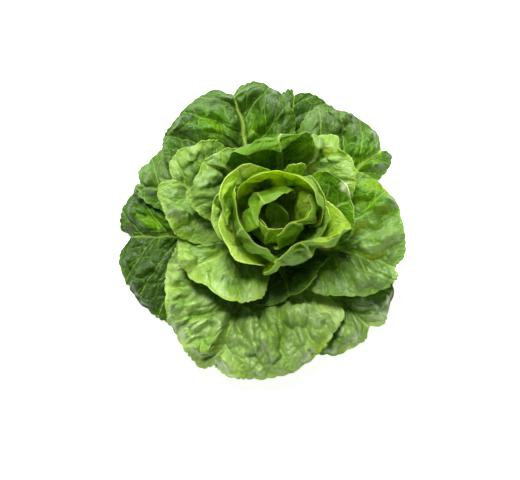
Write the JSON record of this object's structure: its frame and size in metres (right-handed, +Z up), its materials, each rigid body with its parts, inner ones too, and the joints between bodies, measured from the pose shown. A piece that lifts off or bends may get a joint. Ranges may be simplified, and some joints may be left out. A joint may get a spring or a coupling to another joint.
{
  "type": "head of lettuce",
  "caption": "Open head of blistered green lettuce: broad notched leaves in a loose rosette round a pale heart, on a short cut stem.",
  "frame": {"origin": "centre of the stem's cut face, which is the face that the head stands on", "axes": "+Z up through the heart, +X and +Y in the plane of the cut face, with the broadest outer leaf hanging towards -Y"},
  "size_m": [0.247, 0.2588, 0.1311],
  "materials": {
    "cut_stem": "moist pale cream-green stem with a lightly browned cut face",
    "heart_leaf": "smooth waxy yellow-green leaf with fine pale veins",
    "middle_leaf": "blistered mid-green leaf with a satin sheen and pale net veins",
    "outer_leaf": "blistered dark green leaf with a satin sheen and yellow-green veins"
  },
  "bodies": {
    "root": {"core": "cut_stem", "heart_leaf_01": "heart_leaf", "heart_leaf_02": "heart_leaf", "heart_leaf_03": "heart_leaf", "heart_leaf_04": "heart_leaf", "heart_leaf_05": "heart_leaf", "heart_leaf_06": "heart_leaf", "heart_leaf_07": "heart_leaf", "heart_leaf_08": "heart_leaf", "heart_leaf_09": "heart_leaf", "heart_leaf_10": "heart_leaf", "heart_leaf_11": "heart_leaf", "heart_leaf_12": "heart_leaf", "middle_leaf_01": "middle_leaf", "middle_leaf_02": "middle_leaf", "middle_leaf_03": "middle_leaf", "middle_leaf_04": "middle_leaf", "middle_leaf_05": "middle_leaf", "middle_leaf_06": "middle_leaf", "middle_leaf_07": "middle_leaf", "middle_leaf_08": "middle_leaf", "middle_leaf_09": "middle_leaf", "outer_leaf_01": "outer_leaf", "outer_leaf_02": "outer_leaf", "outer_leaf_03": "outer_leaf", "outer_leaf_04": "outer_leaf", "outer_leaf_05": "outer_leaf", "outer_leaf_06": "outer_leaf", "outer_leaf_07": "outer_leaf"}
  },
  "joints": []
}
